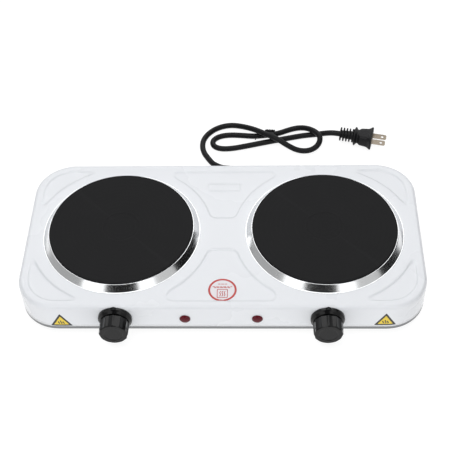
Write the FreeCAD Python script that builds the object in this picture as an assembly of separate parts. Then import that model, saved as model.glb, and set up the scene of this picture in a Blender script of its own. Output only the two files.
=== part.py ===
"""Double electric hot plate: two cast-iron plates on an enamelled steel body, two knobs and a cord.

Millimetres, +Z up, the table at z = 0. x = 0 is the middle of the body, and y = 0 is the middle of the
body with its knobs, which stand out at the front (-Y).
"""
import FreeCAD
import Part
import math
import os

from FreeCAD import Vector

# Body
body_length = 426.0
body_depth = 206.4
body_corner_radius = 43.0
deck_height = 47.0
foot_height = 12.0
pan_rim_height = 4.0
sheet = 1.0
top_edge_radius = 4.0
lip_height = 4.0
lip_gap = 0.2
emboss_depth = 1.2
emboss_arc_radius = 97.0

# Burners
burner_x = 109.5
plate_radius = 77.5
plate_top = deck_height + 9.4
plate_flange = 6.1
plate_neck_radius = 74.0
plate_bottom = 40.0
plate_boss_radius = 14.0
plate_groove_radius = 69.0
plate_groove_top = 48.0
burner_hole_radius = 76.0
ring_radius = 85.0
ring_crest = deck_height + 7.0
ring_sheet = 0.6
coil_radii = (32.0, 52.0)
coil_wire_radius = 2.2
coil_height = 45.0
cover_sheet = 0.6
strap_width = 20.0
strap_sheet = 2.0
stud_radius = 3.0

# Controls
knob_x = 109.1
knob_height = 30.7
knob_reach = 21.5
knob_base_radius = 15.6
knob_face_radius = 15.0
knob_back = 7.6
knob_flutes = 12
flute_radius = 9.9
flute_away = 24.2
bezel_radius = 17.5
bezel_height = 6.0
shaft_radius = 3.0
shaft_flat = 2.2
running_gap = 0.06
bushing_radius = 5.0
lens_x = 37.2
lens_height = 29.3
lens_radius = 5.6
lens_barrel_radius = 4.6

# Labels
label_sheet = 0.12
warning_places = ((-166.1, 17.5), (168.5, 18.9))
warning_side = 21.4
round_label_radius = 14.8

# Cord and plug
cord_radius = 3.4
cord_inside = 30.4
wire_radius = 1.3
plug_rib_radius = 8.3
plug_roll = -9.0
blade_place = 6.35
gland_x = 7.0
gland_height = 23.2

# Places that follow from the sizes above
body_y = knob_reach / 2
front_y = body_y - body_depth / 2
rear_y = body_y + body_depth / 2
wall_bottom = foot_height + pan_rim_height
pan_top = foot_height + sheet
foot_x = 186.0
foot_y = 64.5
up = Vector(0, 0, 1)

# Centre line of the cord: x, distance behind the middle of the body, height above the table
cord_route = [
    (7, 125, 17), (5.5, 131, 12.2), (1, 135.3, 8.4), (-5, 138.6, 5.8), (-10.5, 142.8, 4.4),
    (-17, 148, 3.6), (-22.8, 157.3, 3.45), (-28, 166.5, 3.45), (-30.5, 177.5, 3.45), (-29.7, 189.5, 3.45),
    (-23.5, 201.5, 3.45), (-12.5, 211.5, 3.45), (3, 216.5, 3.45), (19, 210.5, 6.5), (33.6, 199, 12),
    (48.6, 187.4, 14.4), (62, 179.3, 14.2), (74, 172.5, 9.5), (87, 168.5, 4.5), (101, 168.3, 4.5),
    (111.5, 174, 8), (114.5, 184.3, 12.4), (108.7, 193.3, 13), (99, 202.5, 10.4), (88, 208.5, 5.6),
    (77, 206.5, 4.2), (63.3, 199.3, 4.6), (48, 196, 4.6), (32, 195, 4), (16, 197.6, 3.45),
    (1, 198.3, 3.45), (-11, 195.3, 3.45), (-18.3, 187.8, 3.45), (-17, 178.3, 3.45), (-8, 173.5, 3.45),
    (6, 174, 3.45), (23, 177.8, 3.9), (41, 182, 4.6), (60, 187, 4.6), (78, 192.6, 3.6),
    (95, 196.8, 3.45), (110, 197.6, 4.3), (121, 196.1, 7.8), (130.4, 193.6, 10.7), (138.6, 191.7, 10.7),
]
tie_x = 55.5
tie_y = 190.5
tie_slant = -0.5
tie_width = 6.5
tie_sheet = 0.9


def save(name, shape):
    """Writes one sub-part to parts/NAME.step and prints its volume."""
    if not shape.isValid():
        print("NOT VALID", name)
    shape.exportStep("parts/" + name + ".step")
    print(f"{name}: {shape.Volume:.0f} mm3, {len(shape.Solids)} solid(s)")


def joined(shapes):
    """One solid made of several that touch or overlap."""
    return shapes[0].multiFuse(shapes[1:]).removeSplitter()


def box(low, high):
    """A block between two opposite corners."""
    return Part.makeBox(high[0] - low[0], high[1] - low[1], high[2] - low[2], Vector(*low))


def cylinder(radius, x, y, z_low, z_high):
    """An upright cylinder."""
    return Part.makeCylinder(radius, z_high - z_low, Vector(x, y, z_low))


def hexagon(across_flats, z_low, z_high):
    """An upright hexagonal prism on the z axis."""
    corner = across_flats / math.sqrt(3)
    angles = [math.radians(60 * i) for i in range(7)]
    outline = [Vector(corner * math.cos(a), corner * math.sin(a), z_low) for a in angles]
    return Part.Face(Part.makePolygon(outline)).extrude(up * (z_high - z_low))


def turned(profile):
    """A solid of revolution about the z axis from (radius, height) points."""
    outline = [Vector(r, 0, z) for r, z in profile]
    return Part.Face(Part.makePolygon(outline + outline[:1])).revolve(Vector(), up, 360)


def rounded_slab(length, depth, radius, z_low, z_high):
    """A slab with rounded upright corners, centred on the body."""
    x, y, r = length / 2, depth / 2, radius
    s = r * (1 - math.sqrt(0.5))
    corners = [
        ((x, y - r), (x - s, y - s), (x - r, y)),
        ((-x + r, y), (-x + s, y - s), (-x, y - r)),
        ((-x, -y + r), (-x + s, -y + s), (-x + r, -y)),
        ((x - r, -y), (x - s, -y + s), (x, -y + r)),
    ]
    arcs = [[Vector(px, body_y + py, z_low) for px, py in corner] for corner in corners]
    edges = []
    for arc, following in zip(arcs, arcs[1:] + arcs[:1]):
        edges.append(Part.Arc(*arc).toShape())
        edges.append(Part.LineSegment(arc[2], following[0]).toShape())
    return Part.Face(Part.Wire(edges)).extrude(up * (z_high - z_low))


def body_slab(inset, z_low, z_high):
    """A slab with the body's outline, pulled in by inset on every side."""
    return rounded_slab(
        body_length - 2 * inset, body_depth - 2 * inset, body_corner_radius - inset, z_low, z_high
    )


def fillet_top(shape, radius):
    """Rounds the edges that lie on the highest plane of a shape."""
    top = shape.BoundBox.ZMax
    edges = [e for e in shape.Edges if all(abs(v.Z - top) < 1e-6 for v in e.Vertexes)]
    return shape.makeFillet(radius, edges)


def to_front(shape, x, z):
    """Turns a shape built along +Z to stick out of the front wall, at (x, z)."""
    placed = shape.copy()
    placed.rotate(Vector(), Vector(1, 0, 0), 90)
    placed.translate(Vector(x, front_y, z))
    return placed


def to_burner(shape, side):
    """Moves a shape built on the z axis to a burner's centre."""
    placed = shape.copy()
    placed.translate(Vector(side * burner_x, body_y, 0))
    return placed


def rounded_path(points):
    """Straight runs joined by tangent arcs, as one wire, with the radius of each arc."""
    edges = []
    radii = []
    start = points[0]
    for before, corner, after in zip(points, points[1:], points[2:]):
        back = before - corner
        ahead = after - corner
        reach = 0.45 * min(back.Length, ahead.Length)
        half_turn = (math.pi - back.getAngle(ahead)) / 2
        radius = reach / math.tan(half_turn)
        back.normalize()
        ahead.normalize()
        inward = back + ahead
        inward.normalize()
        middle = corner + inward * (radius / math.cos(half_turn) - radius)
        entry = corner + back * reach
        leave = corner + ahead * reach
        edges.append(Part.LineSegment(start, entry).toShape())
        edges.append(Part.Arc(entry, middle, leave).toShape())
        radii.append(radius)
        start = leave
    edges.append(Part.LineSegment(start, points[-1]).toShape())
    return Part.Wire(edges), radii


def tube(points, radius, name):
    """A round tube along a rounded path, checked against its section times its length."""
    path, radii = rounded_path(points)
    section = Part.Wire(Part.makeCircle(radius, points[0], points[1] - points[0]))
    solid = path.makePipeShell([section], True, False)
    expected = math.pi * radius ** 2 * path.Length
    print(f"{name}: length {path.Length:.1f}, volume / expected {solid.Volume / expected:.4f}")
    print("  radii", [round(r, 1) for r in radii])
    return solid


# ---------------------------------------------------------------------------------------- body

def centre_panel(y_near, y_far, half_width, grow, z_low, z_high):
    """The pressed panel between the two burners: a block with a bite round each of them."""
    low = (-half_width - grow, body_y + y_near - grow, z_low)
    high = (half_width + grow, body_y + y_far + grow, z_high)
    panel = box(low, high)
    for side in (-1, 1):
        bite = cylinder(emboss_arc_radius - grow, side * burner_x, body_y, z_low, z_high)
        panel = panel.cut(bite)
    return panel


def corner_panels(grow, z_low, z_high):
    """The four pressed corner panels: the body's outline moved in, bitten round the burners."""
    inset = 9.5 - grow
    outline = body_slab(inset, z_low, z_high)
    reach = body_length
    keep = []
    for side_x in (-1, 1):
        for side_y in (-1, 1):
            xs = sorted((side_x * (144 - grow), side_x * reach))
            ys = sorted((body_y + side_y * (35 - grow), body_y + side_y * reach))
            quarter = outline.common(box((xs[0], ys[0], z_low), (xs[1], ys[1], z_high)))
            bite = cylinder(emboss_arc_radius - grow, side_x * burner_x, body_y, z_low, z_high)
            keep.append(quarter.cut(bite))
    return keep


def pressed_panels(grow, z_low, z_high):
    """Every pressed panel of the deck as a list of prisms."""
    rear = centre_panel(20, 92, 58, grow, z_low, z_high)
    front = centre_panel(-94, -24, 56, grow, z_low, z_high)
    return [rear, front] + corner_panels(grow, z_low, z_high)


def top_housing():
    """The enamelled steel top: deck and walls in one pressing, with its holes and panels."""
    outer = fillet_top(body_slab(0, wall_bottom, deck_height), top_edge_radius)
    inner = fillet_top(body_slab(sheet, wall_bottom - 1, deck_height - sheet), top_edge_radius - sheet)
    shell = outer.cut(inner)
    floor = deck_height - emboss_depth
    for panel in pressed_panels(0, floor, deck_height + 1):
        shell = shell.cut(panel)
    pad = box((-18, body_y + 61.3, floor), (18, body_y + 72.5, floor + 0.7))
    shell = joined([shell] + pressed_panels(sheet, floor - sheet, floor) + [pad])
    for side in (-1, 1):
        shell = shell.cut(cylinder(burner_hole_radius, side * burner_x, body_y, 40, 50))
        shell = shell.cut(to_front(cylinder(bushing_radius + 0.2, 0, 0, -3, 3), side * knob_x, knob_height))
        lens_hole = cylinder(lens_barrel_radius + 0.15, 0, 0, -3, 3)
        shell = shell.cut(to_front(lens_hole, side * lens_x, lens_height))
    gland_hole = Part.makeCylinder(5.25, 6, Vector(gland_x, rear_y - 3, gland_height), Vector(0, 1, 0))
    return shell.cut(gland_hole)


def base_pan():
    """The steel bottom: a flat pan whose rim carries the housing, with an inner lip and vents."""
    ledge = wall_bottom - sheet
    lip_inset = sheet + lip_gap
    lip_inside = lip_inset + sheet
    plate = body_slab(0, foot_height, pan_top)
    rim = body_slab(0, foot_height, wall_bottom).cut(body_slab(sheet, foot_height, wall_bottom))
    shelf = body_slab(0, ledge, wall_bottom).cut(body_slab(lip_inside, ledge, wall_bottom))
    lip_top = wall_bottom + lip_height
    lip = body_slab(lip_inset, ledge, lip_top).cut(body_slab(lip_inside, ledge, lip_top))
    pan = joined([plate, rim, shelf, lip])
    notch = box((gland_x - 9, rear_y - 5, wall_bottom), (gland_x + 9, rear_y, lip_top + 1))
    pan = pan.cut(notch)
    for side in (-1, 1):
        for row in range(-2, 3):
            y = body_y + row * 14
            x = side * burner_x
            pan = pan.cut(box((x - 22, y - 2, foot_height - 1), (x + 22, y + 2, pan_top + 1)))
    for x, y in foot_places():
        pan = pan.cut(cylinder(2.2, x, y, foot_height - 1, pan_top + 1))
    return pan


def foot_places():
    """Centres of the four feet, in the order of foot_names."""
    return [(sx * foot_x, body_y + sy * foot_y) for sy in (-1, 1) for sx in (-1, 1)]


foot_names = ("foot_front_left", "foot_front_right", "foot_rear_left", "foot_rear_right")


def foot(x, y):
    """A rubber foot with a sunk hole for its screw."""
    profile = [(2.2, 5), (5, 5), (5, 0), (8.2, 0), (9, 1), (10, foot_height), (2.2, foot_height)]
    solid = turned(profile)
    solid.translate(Vector(x, y, 0))
    return solid


def foot_screw(x, y):
    """A pan-head screw that holds a foot and the pan to the bracket above."""
    head = cylinder(4, x, y, 2.4, 5)
    shank = cylinder(2, x, y, 5, 18)
    return joined([head, shank])


def bracket(x, y):
    """A bent steel tab between the pan and the deck, with a hole for the foot's screw."""
    ahead = 1 if y > body_y else -1
    top = deck_height - emboss_depth - sheet
    thick = 1.2
    web_y = y + ahead * 6
    ys = sorted((web_y, web_y + ahead * thick))
    web = box((x - 6, ys[0], pan_top), (x + 6, ys[1], top))
    ys = sorted((y - ahead * 6, web_y + ahead * thick))
    low_flange = box((x - 6, ys[0], pan_top), (x + 6, ys[1], pan_top + thick))
    ys = sorted((web_y, web_y + ahead * 11))
    high_flange = box((x - 6, ys[0], top - thick), (x + 6, ys[1], top))
    return joined([web, low_flange, high_flange]).cut(cylinder(2, x, y, pan_top - 1, pan_top + 3))


# ------------------------------------------------------------------------------------- burners

def hot_plate():
    """The cast-iron plate: flat top, wide rim, and a groove below for the element."""
    under = plate_top - plate_flange
    profile = [
        (0, plate_top - 0.4), (19.5, plate_top - 0.4), (20.3, plate_top),
        (plate_radius - 1, plate_top), (plate_radius, plate_top - 1), (plate_radius, under),
        (plate_neck_radius, under), (plate_neck_radius, plate_bottom),
        (plate_groove_radius, plate_bottom), (plate_groove_radius, plate_groove_top),
        (plate_boss_radius, plate_groove_top), (plate_boss_radius, plate_bottom), (0, plate_bottom),
    ]
    return turned(profile).cut(cylinder(stud_radius, 0, 0, plate_bottom, plate_bottom + 7))


def spill_ring():
    """The chromed ring: a flange on the deck, a cone up to a crest, and a ledge under the plate."""
    t = ring_sheet
    inside = plate_radius + 0.3
    ledge_top = plate_top - plate_flange
    profile = [
        (ring_radius, deck_height), (ring_radius, deck_height + t), (84.2, deck_height + t),
        (79.1, ring_crest - 0.7), (78.4, ring_crest), (inside, ring_crest), (inside, ledge_top),
        (plate_neck_radius + 0.5, ledge_top), (plate_neck_radius + 0.5, ledge_top - t),
        (inside + t, ledge_top - t), (inside + t, ring_crest - 0.9), (83.9, deck_height),
    ]
    return turned(profile)


def heating_coil():
    """Two rings of sheathed heating wire, with a pin down from each."""
    rings = [Part.makeTorus(r, coil_wire_radius, Vector(0, 0, coil_height)) for r in coil_radii]
    pins = [cylinder(1.2, x, r, 28, coil_height) for x, r in zip((6, -6), coil_radii)]
    return Part.makeCompound([rings[0].fuse(pins[0]), rings[1].fuse(pins[1])])


def insulating_cement():
    """The fired cement that beds the heating wire in the plate's groove."""
    ring = cylinder(plate_groove_radius, 0, 0, 42, plate_groove_top)
    ring = ring.cut(cylinder(plate_boss_radius, 0, 0, 42, plate_groove_top))
    return ring.cut(heating_coil())


def plate_cover():
    """The sheet cover under a plate, with holes for the stud and the element's pins."""
    cover = cylinder(plate_neck_radius - 0.5, 0, 0, plate_bottom - cover_sheet, plate_bottom)
    cover = cover.cut(cylinder(stud_radius + 0.3, 0, 0, 30, 50))
    for x, y in zip((6, -6), coil_radii):
        cover = cover.cut(cylinder(2.2, x, y, 30, 50))
    return cover


def clamp_strap():
    """The hat-shaped steel bar that pulls a plate down on the deck."""
    top = plate_bottom - cover_sheet
    half = strap_width / 2
    deck_under = deck_height - sheet
    pieces = [box((-81, -half, top - strap_sheet), (81, half, top))]
    for side in (-1, 1):
        xs = sorted((side * 79, side * 81))
        pieces.append(box((xs[0], -half, top - strap_sheet), (xs[1], half, deck_under)))
        xs = sorted((side * 79, side * 88))
        pieces.append(box((xs[0], -half, deck_under - strap_sheet), (xs[1], half, deck_under)))
    return joined(pieces).cut(cylinder(stud_radius + 0.3, 0, 0, 30, 50))


def plate_fastening():
    """Stud, washer and nut under a plate, as three solids."""
    strap_under = plate_bottom - cover_sheet - strap_sheet
    stud = cylinder(stud_radius, 0, 0, 30, plate_bottom + 7)
    washer = cylinder(7, 0, 0, strap_under - 1.2, strap_under)
    washer = washer.cut(cylinder(stud_radius + 0.2, 0, 0, 30, 40))
    nut = hexagon(10, strap_under - 6.2, strap_under - 1.2)
    nut = nut.cut(cylinder(stud_radius, 0, 0, 30, 40))
    return stud, washer, nut


def element_terminal():
    """The ceramic block that carries the element's two pins under the cover."""
    low = (-13, 24, plate_bottom - cover_sheet - 9)
    high = (13, 60, plate_bottom - cover_sheet)
    block = box(low, high)
    block = block.makeFillet(1.5, [e for e in block.Edges if abs(e.Length - 9) < 1e-6])
    for x, y in zip((6, -6), coil_radii):
        block = block.cut(cylinder(1.2, x, y, 20, 50))
    return block


# ------------------------------------------------------------------------------------ controls

def thermostat_bracket():
    """The thermostat's plate against the wall, with the threaded bushing through it."""
    plate = box((-12, -10.5, -sheet - 1.2), (12, 9, -sheet))
    barrel = cylinder(bushing_radius, 0, 0, -sheet - 1.2, 3.2)
    return joined([plate, barrel]).cut(cylinder(shaft_radius + running_gap, 0, 0, -9, 9))


def thermostat_body():
    """The ceramic body of the thermostat, bored for the shaft and for the contact pin."""
    block = box((-13, -10.5, -22), (13, 10.5, -sheet - 1.2))
    block = block.makeFillet(2, [e for e in block.Edges if abs(e.Length - 19.8) < 1e-6])
    block = block.cut(cylinder(shaft_radius + 0.4, 0, 0, -16.4, 0))
    return block.cut(cylinder(1.6 + running_gap, 0, 0, -23, 0))


def thermostat_blade():
    """The bimetal blade behind the contact pin, on a foot riveted to the body."""
    blade = box((-11, -3, -27.6), (11, 3, -27))
    post = box((-11, -3, -27), (-6, 3, -22))
    button = cylinder(1.8, 8.5, 0, -27, -25.6)
    return joined([blade, post, button])


def thermostat_shaft():
    """The steel shaft with a flat for the knob."""
    shaft = cylinder(shaft_radius, 0, 0, -16.2, 18)
    flat = box((-5, shaft_flat, 4.2), (5, 5, 19))
    return shaft.cut(flat)


def contact_pin():
    """The ceramic pin that the shaft's thread pushes against the blade."""
    return cylinder(1.6, 0, 0, -25.8, -16.6)


def thermostat_nut():
    """The thin nut on the bushing, outside the wall and under the bezel."""
    return hexagon(14, 0, 2.4).cut(cylinder(bushing_radius, 0, 0, -1, 4))


def knob_bezel():
    """The fixed ring behind a knob, with a pointed index at the top."""
    ring = turned([
        (9.5, 0), (bezel_radius, 0), (bezel_radius, 3), (bezel_radius - 2.6, bezel_height),
        (6, bezel_height), (6, 4), (9.5, 4),
    ])
    tip = bezel_radius + 1.4
    root = bezel_radius - 1
    index = Part.makePolygon([Vector(-3.4, root, 0), Vector(3.4, root, 0), Vector(0, tip, 0),
                              Vector(-3.4, root, 0)])
    return joined([ring, Part.Face(index).extrude(up * 2.6)])


def knob():
    """The fluted bakelite knob: hollow behind, with a hub for the shaft."""
    face = knob_reach
    skin = turned([
        (11.2, knob_back), (knob_base_radius, knob_back), (knob_face_radius, face - 1.4),
        (knob_face_radius - 1.4, face), (9.6, face), (9.2, face - 0.4), (0, face - 0.4),
        (0, face - 2.6), (11.2, face - 2.6),
    ])
    for i in range(knob_flutes):
        angle = math.radians(360 * (i + 0.5) / knob_flutes)
        x, y = flute_away * math.cos(angle), flute_away * math.sin(angle)
        skin = skin.cut(cylinder(flute_radius, x, y, knob_back - 1, face - 1.8))
    hub = cylinder(5, 0, 0, 4.4, face - 2.6)
    bore = cylinder(shaft_radius + 0.02, 0, 0, 0, 18.4)
    bore = bore.cut(box((-5, shaft_flat + 0.02, 0), (5, 5, 19)))
    return joined([skin, hub]).cut(bore)


def indicator_lens():
    """The domed red lens with its hollow barrel through the wall."""
    profile = [
        (0, 3), (2.6, 2.7), (4.6, 1.9), (lens_radius, 0.8), (lens_radius, 0),
        (lens_barrel_radius, 0), (lens_barrel_radius, -9), (3.4, -9), (3.4, -0.4), (0, 0.6),
    ]
    return turned(profile)


def indicator_lamp():
    """The neon lamp inside the lens, with its two lead wires."""
    bulb = turned([(0, -1), (1.4, -1.5), (2.4, -3), (2.4, -13), (0, -13)])
    leads = [cylinder(0.4, x, 0, -18, -13) for x in (-1, 1)]
    return joined([bulb] + leads)


def lamp_clip():
    """The push-on ring that holds a lens from inside."""
    return cylinder(8, 0, 0, -sheet - 1, -sheet).cut(cylinder(lens_barrel_radius, 0, 0, -4, 4))


# -------------------------------------------------------------------------------------- labels

def warning_label(x, low):
    """A thin triangle on the front wall, wrapped over the start of the corner."""
    skin = body_slab(-label_sheet, wall_bottom, deck_height).cut(
        body_slab(0, wall_bottom - 1, deck_height + 1))
    half = warning_side / 2
    peak = low + warning_side * math.sqrt(3) / 2
    corners = [(x - half, low), (x + half, low), (x, peak), (x - half, low)]
    outline = Part.makePolygon([Vector(px, front_y - 1, pz) for px, pz in corners])
    return skin.common(Part.Face(outline).extrude(Vector(0, 12, 0)))


def round_label():
    """A thin round label on the front panel of the deck."""
    floor = deck_height - emboss_depth
    return cylinder(round_label_radius, 1.3, body_y - 78.9, floor, floor + label_sheet)


# ------------------------------------------------------------------------------- cord and plug

def route_points():
    """The cord's route in the frame of the whole object."""
    return [Vector(x, body_y + y, z) for x, y, z in cord_route]


def strain_relief():
    """The moulded cord guard: a collar each side of the wall and a tail that droops with the cord."""
    outward = Vector(0, 1, 0)
    start = Vector(gland_x, rear_y, gland_height)
    outer_collar = Part.makeCylinder(6.8, 2.6, start, outward)
    neck = Part.makeCylinder(5.2, sheet, start - outward * sheet, outward)
    inner_collar = Part.makeCylinder(6.8, 2, start - outward * (sheet + 2), outward)
    first, second = route_points()[:2]
    run = second - first
    run.normalize()
    root = start + outward * 2.6
    knee = first - run * ((gland_height - first.z) / -run.z)
    sections = []
    for step in range(6):
        t = step / 5
        centre = root * (1 - t) ** 2 + knee * (2 * t * (1 - t)) + first * t ** 2
        heading = (knee - root) * (1 - t) + (first - knee) * t
        sections.append(Part.Wire(Part.makeCircle(5.8 - 1.6 * t, centre, heading)))
    tail = Part.makeLoft(sections, True, True)
    bore = Part.makeCylinder(cord_radius, sheet + 2, start - outward * (sheet + 2), outward)
    return joined([outer_collar, neck, inner_collar, tail]).cut(bore)


def inner_cord():
    """The cord's end inside the body, from the guard to the terminal block."""
    start = Vector(gland_x, rear_y, gland_height)
    return Part.makeCylinder(cord_radius, cord_inside, start, Vector(0, -1, 0))


terminal_places = (-12, -4, 4, 12)


def cord_clamp():
    """The two-legged clamp that pins the cord to the pan."""
    y = rear_y - 22
    block = box((gland_x - 13, y - 4, pan_top), (gland_x + 13, y + 4, gland_height + cord_radius + 3))
    hole = Part.makeCylinder(cord_radius, 12, Vector(gland_x, y - 6, gland_height), Vector(0, 1, 0))
    block = block.cut(hole)
    for side in (-1, 1):
        block = block.cut(cylinder(1.6, gland_x + side * 9, y, pan_top, 40))
    return block


def clamp_screw(side):
    """A small screw through one leg of the cord clamp."""
    x = gland_x + side * 9
    y = rear_y - 22
    top = gland_height + cord_radius + 3
    return joined([cylinder(3, x, y, top, top + 2), cylinder(1.6, x, y, pan_top, top)])


def terminal_block():
    """The ceramic block where the cord and the lead wires meet, with a well for each screw."""
    low = (-18, body_y + 34, pan_top)
    high = (18, body_y + 52, pan_top + 14)
    block = box(low, high)
    for x in terminal_places:
        block = block.cut(cylinder(2.2, x, body_y + 43, pan_top + 5, 40))
    return block


def terminal_screw(x):
    """A slotted brass screw down in one well of the terminal block."""
    screw = cylinder(2.1, x, body_y + 43, pan_top + 5, pan_top + 10)
    slot = box((x - 3, body_y + 42.7, pan_top + 9.2), (x + 3, body_y + 43.3, pan_top + 11))
    return screw.cut(slot)


def lead_wires():
    """The insulated wires from the terminal block to the thermostats, elements and lamps."""
    wires = []
    low = pan_top + 4
    routes = {
        "feed": [(18.1, 38, 20), (25, 38, 19.5), (34, 26, low), (50, 4, low), (74, -40, low),
                 (95, -66, low), (103, -73, 26), (103, -81, 26)],
        "element": [(115, -81, 26), (115, -73, 26), (122, -64, low), (128, -32, low),
                    (126, 6, low), (112, 32, low), (103.5, 52, 26)],
        "neutral": [(18.1, 48, 20), (26, 48, 19.5), (36, 51, low), (62, 48, low),
                    (98, 30, low), (115.5, 32, 26)],
        "lamp": [(14, 33.9, 18), (14, 26, 17.6), (16, 12, low), (22, -24, low),
                 (30, -62, low), (37.2, -83, 26)],
    }
    for side in (-1, 1):
        for name, route in routes.items():
            points = [Vector(side * x, body_y + y, z) for x, y, z in route]
            wires.append(tube(points, wire_radius, "lead wire " + name))
    return Part.makeCompound(wires)


def inner_leads():
    """The cord's two cores, from the end of the cord to the terminal block."""
    start_y = body_depth / 2 - cord_inside - 0.1
    cores = []
    for side in (-1, 1):
        start_x = gland_x + side * 1.6
        route = [(start_x, start_y, 22), (start_x, start_y - 4, 22), (side * 4 + 1, 62, 20.4),
                 (side * 4, 57, 20), (side * 4, 52.1, 20)]
        points = [Vector(x, body_y + y, z) for x, y, z in route]
        cores.append(tube(points, wire_radius, "core"))
    return cores


def plug_axis():
    """The plug's start, and its heading along the table."""
    points = route_points()
    heading = points[-1] - points[-2]
    heading.z = 0
    heading.normalize()
    return points[-1], heading


def oval(width, height, radius, x):
    """A rounded rectangle standing across the x axis."""
    a, b, r = width / 2, height / 2, radius
    s = r * (1 - math.sqrt(0.5))
    corners = [
        ((a, b - r), (a - s, b - s), (a - r, b)), ((-a + r, b), (-a + s, b - s), (-a, b - r)),
        ((-a, -b + r), (-a + s, -b + s), (-a + r, -b)), ((a - r, -b), (a - s, -b + s), (a, -b + r)),
    ]
    arcs = [[Vector(x, py, pz) for py, pz in corner] for corner in corners]
    edges = []
    for arc, following in zip(arcs, arcs[1:] + arcs[:1]):
        edges.append(Part.Arc(*arc).toShape())
        edges.append(Part.LineSegment(arc[2], following[0]).toShape())
    return Part.Wire(edges)


def along_plug(shape):
    """Moves a shape built along +X to the plug's place."""
    start, heading = plug_axis()
    placed = shape.copy()
    placed.rotate(Vector(), Vector(1, 0, 0), plug_roll)
    placed.rotate(Vector(), up, math.degrees(math.atan2(heading.y, heading.x)))
    placed.translate(start)
    return placed


def plug_body():
    """The moulded plug: ribbed guard, collar, waist, body and front flange."""
    axis = Vector(1, 0, 0)
    pieces = [Part.makeCone(4.6, 5.8, 19, Vector(), axis)]
    for i in range(5):
        pieces.append(Part.makeCylinder(plug_rib_radius, 1.6, Vector(0.2 + 3.7 * i, 0, 0), axis))
    outlines = [
        oval(16, 15, 6.5, 16), oval(26.6, 17.6, 8, 18.4), oval(17.5, 13.6, 6, 21.6), oval(21.6, 14.4, 5, 25),
        oval(23.2, 14.8, 4.5, 33.5), oval(29.4, 18.4, 5, 37.6),
    ]
    for near, far in zip(outlines, outlines[1:]):
        pieces.append(Part.makeLoft([near, far], True, True))
    pieces.append(Part.Face(oval(29.4, 18.4, 5, 37.6)).extrude(Vector(1.8, 0, 0)))
    body = joined(pieces)
    for side in (-1, 1):
        y = side * blade_place
        body = body.cut(box((30, y - 0.75, -3.175), (40, y + 0.75, 3.175)))
    return along_plug(body)


def plug_blade(side):
    """One flat blade of the plug, 12.7 mm from the other."""
    y = side * blade_place
    blade = box((30, y - 0.75, -3.175), (56, y + 0.75, 3.175))
    tips = [e for e in blade.Edges if abs(e.Length - 1.5) < 1e-6 and e.CenterOfMass.x > 55]
    blade = blade.makeChamfer(1.2, tips)
    hole = Part.makeCylinder(1.6, 10, Vector(51, y - 5, 0), Vector(0, 1, 0))
    return along_plug(blade.cut(hole))


def cable_tie():
    """The tie round the three strands where the cord crosses itself, slanted in plan to lie square to
    them, with its ends twisted into a knot and a tail that passes under the top strand."""
    clear = cord_radius + 0.75
    strands = [(185.1, 5.1), (198.3, 5.1), (183.6, 14.7), (179.6, 14.5), (176.2, 12.6)]
    corners = [Vector(tie_x - tie_width / 2, body_y + y, z) for y, z in strands]
    ring = Part.makePolygon(corners + corners[:1])
    inside = Part.Face(ring.makeOffset2D(clear))
    outside = Part.Face(ring.makeOffset2D(clear + tie_sheet))
    band = outside.cut(inside).extrude(Vector(tie_width, 0, 0))
    slant = FreeCAD.Matrix()
    slant.A12 = tie_slant
    slant.A14 = -tie_slant * (body_y + tie_y)
    band = band.transformGeometry(slant)
    knot_points = [(58.5, 192.8, 14.6), (52, 194, 14.3), (47, 195.8, 13.2)]
    tail_points = [(50.5, 194.1, 13.9), (46.8, 195.6, 12), (44.9, 194.4, 9.4), (43, 190.4, 8.2),
                   (39.5, 187.6, 8.8), (36.5, 186.2, 9.2), (34.6, 183.4, 8.6)]
    knot = tube([Vector(x, body_y + y, z) for x, y, z in knot_points], 1.7, "tie knot")
    tail = tube([Vector(x, body_y + y, z) for x, y, z in tail_points], 0.8, "tie tail")
    return joined([band, knot, tail])


# ------------------------------------------------------------------------------------ write out

os.makedirs("parts", exist_ok=True)

save("top_housing", top_housing())
save("base_pan", base_pan())
save("mounting_brackets", Part.makeCompound([bracket(x, y) for x, y in foot_places()]))
for name, (x, y) in zip(foot_names, foot_places()):
    save(name, foot(x, y))
save("foot_screws", Part.makeCompound([foot_screw(x, y) for x, y in foot_places()]))

strap_washers = []
strap_nuts = []
wall_nuts = []
lamp_clips = []
for name, side in (("left", -1), ("right", 1)):
    save("hot_plate_" + name, to_burner(hot_plate(), side))
    save("spill_ring_" + name, to_burner(spill_ring(), side))
    save("heating_coil_" + name, to_burner(heating_coil(), side))
    save("insulating_cement_" + name, to_burner(insulating_cement(), side))
    save("plate_cover_" + name, to_burner(plate_cover(), side))
    save("clamp_strap_" + name, to_burner(clamp_strap(), side))
    save("element_terminal_" + name, to_burner(element_terminal(), side))
    stud, washer, nut = plate_fastening()
    save("plate_stud_" + name, to_burner(stud, side))
    strap_washers.append(to_burner(washer, side))
    strap_nuts.append(to_burner(nut, side))
    controls = {
        "thermostat_bracket_": thermostat_bracket, "thermostat_body_": thermostat_body,
        "thermostat_blade_": thermostat_blade, "thermostat_shaft_": thermostat_shaft,
        "contact_pin_": contact_pin, "knob_bezel_": knob_bezel, "knob_": knob,
    }
    for part_name, make in controls.items():
        save(part_name + name, to_front(make(), side * knob_x, knob_height))
    wall_nuts.append(to_front(thermostat_nut(), side * knob_x, knob_height))
    save("indicator_lens_" + name, to_front(indicator_lens(), side * lens_x, lens_height))
    save("indicator_lamp_" + name, to_front(indicator_lamp(), side * lens_x, lens_height))
    lamp_clips.append(to_front(lamp_clip(), side * lens_x, lens_height))

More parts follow.
